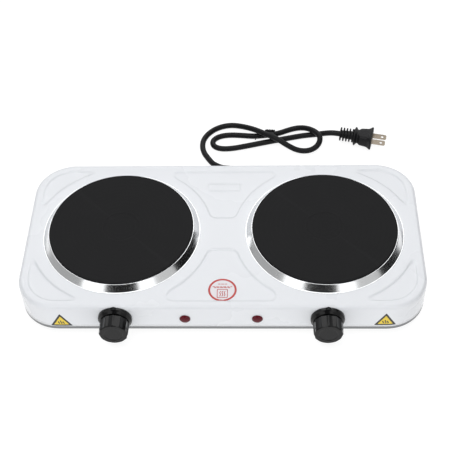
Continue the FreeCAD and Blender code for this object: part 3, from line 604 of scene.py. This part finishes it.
def deck_half(side, edge):
    """One half of the deck as rays from a burner's centre: each starts on a circle under the ring and runs
    to the rounded edge or to the body's middle line. Points on a ray crowd where the height changes."""
    centre = np.array((side * burner_x, 0))
    own = edge[side * edge[:, 0] > 1e-6]
    y_end = np.abs(edge[:, 1]).max()
    middle = np.stack([np.zeros(180), np.linspace(-y_end, y_end, 180)], 1)
    rim = np.concatenate([own, middle])
    rim = rim[np.argsort(np.arctan2(*(rim - centre).T[::-1]))]
    ray = rim - centre
    length = np.linalg.norm(ray, axis=1, keepdims=True)
    fine = np.linspace(0, 1, 400)[None, :]
    radius = deck_hole + (length - deck_hole) * fine
    x = centre[0] + ray[:, :1] / length * radius
    y = centre[1] + ray[:, 1:] / length * radius
    slope = np.abs(np.diff(deck_height(x, y), axis=1)) / np.diff(radius, axis=1)
    crowd = np.cumsum(np.pad(0.06 + slope, ((0, 0), (1, 0))), axis=1)
    crowd /= crowd[:, -1:]
    wanted = np.linspace(0, 1, 38)
    pick = (crowd[:, :, None] < wanted[None, None, :] - 1e-9).sum(axis=1)
    pick = np.minimum(pick, fine.size - 1)
    x, y = np.take_along_axis(x, pick, 1), np.take_along_axis(y, pick, 1)
    x[:, -1], y[:, -1] = rim[:, 0], rim[:, 1]
    return np.stack([x, y, deck_height(x, y)], -1)


def housing_skin():
    """Deck halves, rounded edge and wall as one sheet of quads in metres. The edge and the wall are a
    profile, a quarter circle and a straight drop, carried round the body's plan."""
    edge, outward = body_outline(edge_radius, 2.0)
    turn = np.linspace(0, np.pi / 2, 8)
    straight = np.linspace(edge_radius + 0.1, deck_top - wall_bottom, 7)
    out = np.concatenate([edge_radius * np.sin(turn), np.full(7, edge_radius)])
    drop = np.concatenate([edge_radius * (1 - np.cos(turn)), straight])
    wall = edge[:, None] + outward[:, None] * out[None, :, None]
    wall = np.concatenate([wall, np.broadcast_to(deck_top - drop, wall.shape[:2])[..., None]], -1)
    faces = [quads(*wall.shape[:2], wrap_rows=True, wrap_columns=False)]
    points = [wall.reshape(-1, 3)]
    for side in (-1, 1):
        deck = deck_half(side, edge)
        faces.append(quads(*deck.shape[:2], wrap_rows=True, wrap_columns=False) + sum(map(len, points)))
        points.append(deck.reshape(-1, 3))
    return np.concatenate(points) * mm + (0, body_y, 0), np.concatenate(faces)


def housing_shell():
    """The skin, turned so that the deck faces up, with 1 mm of steel put inside it."""
    shell = new_piece("housing_shell", *housing_skin(), enamel, slot="white_enamel",
                      instead_of=["top_housing"], merge=2e-5)
    top = max(shell.data.polygons, key=lambda face: face.center.z)
    if top.normal.z < 0:
        shell.data.flip_normals()
    steel = shell.modifiers.new("sheet_steel", "SOLIDIFY")
    steel.thickness = sheet * mm
    steel.offset = -1.0



housing_shell()

# ------------------------------------------------------------------------------------ burners
# Each burner is a cast-iron plate, turned flat and blacked, that sits in a spun and chromed steel
# ring. Wire in fired cement heats it from below, and a strap, stud and nut pull it to the deck.
ring_chrome = finish("ring_chrome", ((0.80, 0.81, 0.82), (0.86, 0.87, 0.88)), (0.13, 0.19),
                     grain=(30.0, 0.01), mottle=14.0, Metallic=1.0)
element_wire = finish("oxidised_wire", ((0.16, 0.13, 0.11), (0.3, 0.27, 0.25)), (0.5, 0.7),
                      grain=(800.0, 0.3), mottle=120.0, Metallic=0.8)
fired_cement = finish("fired_cement", ((0.55, 0.52, 0.47), (0.72, 0.69, 0.63)), (0.85, 0.95),
                      grain=(500.0, 0.8), mottle=60.0)
steatite = finish("steatite", ((0.76, 0.74, 0.68), (0.86, 0.84, 0.79)), (0.45, 0.6),
                  grain=(900.0, 0.15), mottle=70.0)
dish_radius, dish_depth, plate_edge = 19.0, 0.4, 6.1
rib_outer, rib_inner, hub_edge, groove_roof = 74.0, 69.0, 14.0, 48.0
ring_sheet, ring_inside, ledge_inside, ledge_drop = 0.6, 77.8, 74.5, 3.7


def plate_iron(name, x, y):
    """Blacked cast iron with a fine sandy grain. Faint rings about the plate's own centre, left by the
    lathe, change how rough it is."""
    made = finish(name, ((0.0148, 0.0148, 0.0154), (0.0184, 0.0184, 0.0190)), (0.66, 0.76),
                  grain=(1400.0, 0.30), mottle=40.0, edge_wear_and_sheen=((0.03, 0.03, 0.032), 0.12),
                  Specular_IOR_Level=0.08)
    tree = made.node_tree
    shader = tree.nodes["Principled BSDF"]
    place = add_node(tree, "ShaderNodeTexCoord").outputs["Object"]
    centred = add_node(tree, "ShaderNodeMapping", {"Vector": place, "Location": (-x, -y, 0)})
    rings = add_node(tree, "ShaderNodeTexWave", {"Vector": centred.outputs["Vector"], "Scale": 60.0,
                                                 "Distortion": 0.6, "Detail": 2.0},
                     wave_type="RINGS", rings_direction="Z")
    plain = shader.inputs["Roughness"].links[0].from_socket
    turned_finish = add_node(tree, "ShaderNodeMath", {0: rings.outputs["Fac"], 1: 0.04, 2: plain},
                             operation="MULTIPLY_ADD")
    tree.links.new(turned_finish.outputs[0], shader.inputs["Roughness"])
    return made


def cast_plate(side):
    """The plate's outline turned round its axis: a flat top with a shallow dished middle, a small bevel,
    a rim that rests in the ring, and the ring-shaped groove below for the cement."""
    low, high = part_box("hot_plate_" + side)
    x, y = (low[0] + high[0]) / 2, (low[1] + high[1]) / 2
    radius, top, bottom = (high[0] - low[0]) / 2 / mm, high[2] / mm, low[2] / mm
    under = top - plate_edge
    dish = top - dish_depth
    outline = eased([(0, dish, 0), (dish_radius, dish, 1.2), (dish_radius + 1.0, top, 1.2),
                     (radius - 1.0, top, 0.8), (radius, top - 1.2, 0.8), (radius, under, 0.4),
                     (rib_outer, under, 0.4), (rib_outer, bottom, 0.5), (rib_inner, bottom, 0.5),
                     (rib_inner, groove_roof, 0.4), (hub_edge, groove_roof, 0.4), (hub_edge, bottom, 0.5),
                     (0, bottom, 0)])
    points = turned(outline, 256) + (x, y, 0)
    new_piece("cast_plate_" + side, points, quads(*points.shape[:2]), plate_iron("plate_iron_" + side, x, y),
              slot="cast_iron", instead_of=["hot_plate_" + side])


def trim_ring(side):
    """A spun ring, 0.6 mm thick, as an outline turned round its axis: a narrow flange, a cone up to a rolled
    crest, and a wall down inside to the ledge that carries the plate."""
    low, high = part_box("spill_ring_" + side)
    x, y = (low[0] + high[0]) / 2, (low[1] + high[1]) / 2
    radius, base, crest = (high[0] - low[0]) / 2 / mm, low[2] / mm, high[2] / mm
    ledge = crest - ledge_drop
    ring_outside = ring_inside + ring_sheet
    outline = eased([(radius, base, 0.2), (radius, base + ring_sheet, 0.25), (84.2, base + ring_sheet, 0.7),
                     (79.1, crest - 0.7, 0.6), (ring_outside, crest, 0.5), (ring_inside, crest, 0.25),
                     (ring_inside, ledge, 0.2), (ledge_inside, ledge, 0.1),
                     (ledge_inside, ledge - ring_sheet, 0.1), (ring_outside, ledge - ring_sheet, 0.3),
                     (ring_outside, crest - 0.9, 0.3), (83.9, base, 0.3)], 8, closed=True)
    points = turned(outline, 320) + (x, y, 0)
    new_piece("trim_ring_" + side, points, quads(*points.shape[:2], wrap_rows=True), ring_chrome,
              slot="chrome_ring", instead_of=["spill_ring_" + side])


for side in ("left", "right"):
    cast_plate(side)
    trim_ring(side)
    dress(element_wire, "heating_coil_" + side)
    dress(fired_cement, "insulating_cement_" + side)
    dress(galvanised, "plate_cover_" + side, "clamp_strap_" + side)
    dress(zinc_plate, "plate_stud_" + side)
    dress(steatite, "element_terminal_" + side)
dress(zinc_plate, "strap_washers", "strap_nuts")

# ----------------------------------------------------------------------------------- controls
# Knob and bezel are glossy black bakelite, moulded in heated steel dies. The bezel is fixed to the
# wall over the thermostat's nut and has a pointed index on top. The knob turns on a flatted shaft.
# The bakelite's paler edge colour, found by pointiness, is a painted highlight along the knob's flutes and
# the bezel's rims.
bakelite = finish("black_bakelite", ((0.004, 0.004, 0.0042), (0.007, 0.007, 0.0074)), (0.09, 0.16),
                  grain=(500.0, 0.03), mottle=70.0, edge_wear_and_sheen=((0.03, 0.03, 0.031), 0.2), Specular_IOR_Level=0.22)
bright_steel = finish("bright_steel", ((0.58, 0.58, 0.59), (0.72, 0.72, 0.73)), (0.2, 0.32),
                      grain=(700.0, 0.12), mottle=100.0, Metallic=1.0)
rolled_brass = finish("rolled_brass", ((0.62, 0.46, 0.18), (0.75, 0.58, 0.27)), (0.25, 0.4),
                      grain=(600.0, 0.12), mottle=90.0, Metallic=1.0)
flute_count, flute_radius, flute_away, ridge_rounding = 12, 9.9, 24.2, 0.9
knob_radius, knob_face_radius, knob_gap = 15.6, 15.0, 7.6
shaft_hole, hub_radius, hub_start, skirt_inside, face_thickness = 3.02, 5.0, 4.4, 11.2, 2.6
face_dimple, dimple_depth = 9.4, 0.45
bezel_radius, index_rise, index_half_width = 17.5, 1.2, 3.0


def on_wall(points, x, z):
    """Turns a surface made along +z to stand out of the front wall at (x, z), all in metres."""
    return np.stack([points[..., 0] + x, front_y - points[..., 2], points[..., 1] + z], -1)


def bezel_ring():
    """A hollow ring with a sloping face. Its outer radius rises to a point at the top: a triangle in the
    angle, 3 mm to each side, only on the band next to the wall."""
    outline = eased([(9.5, 0, 0.2), (bezel_radius, 0, 0.2), (bezel_radius, 3, 0.5), (16.6, 3.9, 0.5),
                     (15.0, 6, 0.5), (6, 6, 0.3), (6, 4, 0.2), (9.5, 4, 0.3)], closed=True)
    points = turned(outline, 288)
    angle = np.arctan2(points[..., 1], points[..., 0]) - np.pi / 2
    along = np.abs(angle) * bezel_radius
    radius = np.hypot(points[..., 0], points[..., 1]) / mm
    band = (radius > bezel_radius - 0.5) * np.clip((3.2 - points[..., 2] / mm) / 0.5, 0, 1)
    rise = 1 + index_rise / bezel_radius * np.clip(1 - along / index_half_width, 0, 1) * band
    points[..., :2] *= rise[..., None]
    return points


def knob_skin(face):
    """The knob's outline turned round, less twelve flutes. Across a flute the radius is where a circle,
    centred outside the knob, cuts it; the lesser of the two is taken, rounded a little at the ridges."""
    inside, dimple = face - face_thickness, face - dimple_depth
    outline = eased([(shaft_hole, hub_start, 0.1), (hub_radius, hub_start, 0.3), (hub_radius, inside, 0.5),
                     (skirt_inside, inside, 0.5), (skirt_inside, knob_gap, 0.3), (knob_radius, knob_gap, 0.5),
                     (knob_face_radius, face - 1.0, 0.4), (knob_face_radius - 1.0, face, 0.7),
                     (face_dimple + 0.5, face, 0.3), (face_dimple, dimple, 0.3), (0, dimple, 0)])
    points = turned(outline, 720)
    radius, height = outline[:, :1], outline[:, 1:]
    angle = np.linspace(0, 2 * np.pi, 720, endpoint=False)[None, :]
    pitch = 2 * np.pi / flute_count
    off = (angle + pitch) % pitch - pitch / 2
    chord = np.sqrt(np.maximum(flute_radius ** 2 - (flute_away * np.sin(off)) ** 2, 0))
    fluted = blend_least(radius, flute_away * np.cos(off) - chord, ridge_rounding)
    outer = (radius > skirt_inside + 0.7) * (height > knob_gap - 0.01)
    scale = 1 + outer * (fluted / np.maximum(radius, 0.1) - 1)
    points[..., :2] *= scale[..., None]
    return points


knob_depth = (front_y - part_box("knob_left")[0][1]) / mm
for side in ("left", "right"):
    low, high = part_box("knob_" + side)
    axis = (low[0] + high[0]) / 2, (low[2] + high[2]) / 2
    skin = on_wall(knob_skin(knob_depth), *axis)
    new_piece("control_knob_" + side, skin, quads(*skin.shape[:2]), bakelite,
              body=f"knob_{side}_body", slot="bakelite_black", instead_of=["knob_" + side])
    ring = on_wall(bezel_ring(), *axis)
    new_piece("bezel_" + side, ring, quads(*ring.shape[:2], wrap_rows=True), bakelite,
              slot="bakelite_black", instead_of=["knob_bezel_" + side])
    dress(bright_steel, "thermostat_shaft_" + side)
    dress(galvanised, "thermostat_bracket_" + side)
    dress(steatite, "thermostat_body_" + side, "contact_pin_" + side)
    dress(rolled_brass, "thermostat_blade_" + side)
dress(zinc_plate, "thermostat_nuts")

# --------------------------------------------------------------------------------- indicators
# A neon lamp glows behind each domed lens of dark red clear plastic. The lens is pushed through the
# wall and held inside by a spring clip.
lens_plastic = finish("lens_red", ((0.085, 0.002, 0.008), (0.12, 0.003, 0.011)), (0.16, 0.24),
                      grain=(300.0, 0.02), mottle=200.0, Specular_IOR_Level=0.22)
lamp_glass = finish("lamp_glass", ((0.85, 0.87, 0.86), (0.92, 0.93, 0.92)), (0.04, 0.08),
                    grain=(200.0, 0.02), mottle=100.0, Transmission_Weight=0.9)


def lens(side):
    """The lens's outline turned round its axis: a low dome with a thin flat rim, and a hollow barrel."""
    low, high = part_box("indicator_lens_" + side)
    outline = eased([(0, 3.0, 0), (2.6, 2.7, 1.5), (4.6, 1.9, 1.5), (5.3, 1.1, 0.3), (5.6, 0.9, 0.25),
                     (5.6, 0, 0.1), (4.6, 0, 0.1), (4.6, -9, 0.2), (3.4, -9, 0.2), (3.4, -0.4, 0.5),
                     (0, 0.6, 0)])
    points = on_wall(turned(outline, 96), (low[0] + high[0]) / 2, (low[2] + high[2]) / 2)
    new_piece("red_lens_" + side, points, quads(*points.shape[:2]), lens_plastic,
              slot="lens_red", instead_of=["indicator_lens_" + side])


for side in ("left", "right"):
    lens(side)
    dress(lamp_glass, "indicator_lamp_" + side)
dress(bright_steel, "lamp_clips")

# ------------------------------------------------------------------------------------- labels
# Two hot-surface labels on the front wall, a yellow triangle with a black border and three rising
# waves, and a round one on the deck with a red ring, plain bars and framed waves. All are printed film.
film_yellow = finish("film_yellow", ((0.83, 0.60, 0.035), (0.88, 0.66, 0.05)), (0.3, 0.4),
                     grain=(900.0, 0.05), mottle=80.0)
film_black = finish("film_black", ((0.018, 0.018, 0.017), (0.03, 0.03, 0.028)), (0.3, 0.4),
                    grain=(900.0, 0.05), mottle=80.0)
film_white = finish("film_white", ((0.80, 0.77, 0.79), (0.85, 0.82, 0.84)), (0.3, 0.4),
                    grain=(900.0, 0.05), mottle=60.0)
film_red = finish("film_red", ((0.50, 0.022, 0.017), (0.58, 0.032, 0.025)), (0.3, 0.4),
                  grain=(900.0, 0.05), mottle=60.0)
film_thickness = 0.05
triangle_side, border_spread, field_shrink = 21.4, 1.6, 5.6
border_level, field_level, wave_level = 0.07, 0.10, 0.13


def film(outline, hole=None, rows=6):
    """A thin flat patch from an outline of (x, y) points: rings of points shrink from it to its middle, or
    to a hole's outline. Comes back as rows of (x, y)."""
    inner = outline.mean(axis=0)[None] if hole is None else hole
    t = np.linspace(0, 1, rows)[:, None, None]
    return outline[None] * (1 - t) + inner[None] * t


def film_piece(name, patch, level, place, material, slot_name, instead_of=()):
    """The patch as a closed leaf: its front at a level over the enamel, its edge turned down, and its back
    a film's thickness below the front."""
    front = np.concatenate([patch, np.full(patch.shape[:2] + (1,), level)], -1)
    back = np.concatenate([patch, np.full(patch.shape[:2] + (1,), level - film_thickness)], -1)
    leaf = np.concatenate([back[::-1], front])
    points = place(leaf * mm)
    wrap = not np.allclose(patch[-1], patch[-1].mean(axis=0))
    new_piece(name, points, quads(*points.shape[:2], wrap_rows=wrap), material,
              slot=slot_name, instead_of=instead_of)


def triangle(side_length, radius, spacing=0.5):
    """A triangle with rounded corners, point up, about its centroid, with points close together."""
    tall = side_length * np.sqrt(3) / 2
    corners = [(0, tall * 2 / 3, radius), (-side_length / 2, -tall / 3, radius),
               (side_length / 2, -tall / 3, radius)]
    outline = eased(corners, closed=True)
    around = np.concatenate([outline, outline[:1]])
    length = np.concatenate([[0], np.cumsum(np.linalg.norm(np.diff(around, axis=0), axis=1))])
    at = np.linspace(0, length[-1], int(length[-1] / spacing), endpoint=False)
    return np.stack([np.interp(at, length, around[:, k]) for k in (0, 1)], 1)


def film_line(name, line, width, level, place, material, slot_name):
    """A printed line of constant width along (x, y) points, as a closed flat bar with square ends."""
    aside = np.gradient(line, axis=0)[:, ::-1] * (1, -1)
    aside *= width / 2 / np.linalg.norm(aside, axis=1, keepdims=True)
    rows = []
    for edge, sunk in ((-1, 1), (1, 1), (1, 0), (-1, 0)):
        height = np.full((len(line), 1), level - film_thickness * sunk)
        rows.append(np.concatenate([line + edge * aside, height], 1))
    points = place(np.array(rows) * mm)
    count = len(line)
    ends = np.array([[k * count for k in range(4)], [k * count + count - 1 for k in range(4)]])
    faces = np.concatenate([quads(4, count, wrap_rows=True, wrap_columns=False), ends])
    new_piece(name, points, faces, material, slot=slot_name)


def wave_line(x, low, high, swing, lean=0.0):
    """One rising wave: a whole turn of a sine about an upright or leaning line."""
    t = np.linspace(0, 1, 25)
    return np.stack([x + swing * np.sin(2 * np.pi * t) + lean * t, low + (high - low) * t], 1)


def on_front_wall(x, z):
    """Places a flat leaf on the front wall; past the start of a rounded corner it follows the corner."""
    def place(points):
        along = points[..., 0] + x * mm
        flat = (half_length - corner_radius) * mm
        past = np.maximum(np.abs(along) - flat, 0)
        turn = past / (corner_radius * mm)
        radius = corner_radius * mm + points[..., 2]
        wrapped = np.sign(along) * (np.minimum(np.abs(along), flat) + radius * np.sin(turn))
        depth = front_y + corner_radius * mm - radius * np.cos(turn)
        return np.stack([wrapped, depth, points[..., 1] + z * mm], -1)
    return place


triangle_places = {"left": (-166.1, 17.5), "right": (168.5, 18.9)}
for side, (x, low) in triangle_places.items():
    at = on_front_wall(x, low + triangle_side * np.sqrt(3) / 6)
    border = triangle(triangle_side + border_spread, 0.7)
    field = triangle(triangle_side - field_shrink, 0.4)
    film_piece("heat_label_border_" + side, film(border), border_level, at, film_black, "label_yellow",
               ["warning_labels"] if side == "left" else ())
    film_piece("heat_label_field_" + side, film(field), field_level, at, film_yellow, "label_yellow")
    for k, offset in enumerate((-2.4, 0.0, 2.4)):
        wave = wave_line(offset, -3.2, 2.2 - abs(offset) * 0.7, 0.5)
        film_line(f"heat_label_wave_{side}_{k + 1}", wave, 1.15, wave_level, at, film_black, "label_yellow")

round_low, round_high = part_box("round_label")
round_centre = (round_low[0] + round_high[0]) / 2, (round_low[1] + round_high[1]) / 2
round_radius = (round_high[0] - round_low[0]) / 2 / mm
round_level, print_level = 0.10, 0.17
red_ring_width, word_height, frame_line = 2.1, 0.8, 0.7
frame_y, frame_size = -4.6, 11.2


def on_deck(points):
    """Lays a flat leaf on the deck: its height above the table is the deck's at each point, plus its own."""
    x, y = points[..., 0] + round_centre[0], points[..., 1] + round_centre[1]
    deck = deck_height(x / mm, (y - body_y) / mm) * mm
    return np.stack([x, y, deck + points[..., 2]], -1)


def circle(radius, count=120):
    """Points round a circle."""
    angle = np.linspace(0, 2 * np.pi, count, endpoint=False)
    return radius * np.stack([np.cos(angle), np.sin(angle)], 1)


def bar(x, y, width, height, corner=0.3):
    """An upright rectangle about (x, y) with rounded corners."""
    left, right, low, high = x - width / 2, x + width / 2, y - height / 2, y + height / 2
    return eased([(left, low, corner), (right, low, corner), (right, high, corner), (left, high, corner)],
                 closed=True)


film_piece("deck_label_film", film(circle(round_radius), rows=41), round_level, on_deck, film_white,
           "label_white", ["round_label"])
ring_edge = round_radius - 0.1
ring_patch = film(circle(ring_edge), circle(ring_edge - red_ring_width), 8)
film_piece("deck_label_ring", ring_patch, print_level, on_deck, film_red, "label_white")
words = [(-3.4, 7.6, 2.6), (0.2, 7.6, 3.4), (3.7, 7.6, 2.2),
         (-8.8, 4.1, 3.2), (-5.1, 4.1, 2.8), (-1.5, 4.1, 3.0), (2.4, 4.1, 3.4), (6.0, 4.1, 2.4),
         (9.0, 4.1, 2.2),
         (-7.4, 2.9, 2.4), (-4.4, 2.9, 2.6), (-0.8, 2.9, 3.4), (3.0, 2.9, 3.0), (6.6, 2.9, 2.8)]
for k, (x, y, width) in enumerate(words):
    word = film(bar(x, y, width, word_height))
    film_piece(f"deck_label_word_{k + 1}", word, print_level, on_deck, film_red, "label_white")
frame_hole = frame_size - 2 * frame_line
frame_outside = bar(0, frame_y, frame_size, frame_size, 0.8)
frame_patch = film(frame_outside, bar(0, frame_y, frame_hole, frame_hole, 0.8), 2)
film_piece("deck_label_frame", frame_patch, print_level, on_deck, film_red, "label_white")
for k, x in enumerate((-2.9, -0.6, 1.7)):
    wave = wave_line(x, -8.2, -1.5, 0.7, 1.4)
    film_line(f"deck_label_wave_{k + 1}", wave, 0.8, print_level, on_deck, film_red, "label_white")

# ------------------------------------------------------------------------------- inner wiring
# Inside, the lead's end is pinned to the pan by a nylon clamp with two screws. Its cores go to a
# ceramic terminal block, and sleeved wires run from there to the thermostats, elements and lamps.
nylon = finish("black_nylon", ((0.03, 0.03, 0.03), (0.045, 0.045, 0.045)), (0.5, 0.65),
               grain=(900.0, 0.2), mottle=80.0)
glass_sleeve = finish("glass_braid_sleeve", ((0.70, 0.67, 0.60), (0.82, 0.79, 0.72)), (0.7, 0.85),
                      grain=(1800.0, 0.9), mottle=120.0)
dress(lead_pvc, "inner_cord")
dress(nylon, "cord_clamp")
dress(zinc_plate, "clamp_screws")
dress(steatite, "terminal_block")
dress(rolled_brass, "terminal_screws")
dress(glass_sleeve, "lead_wires")
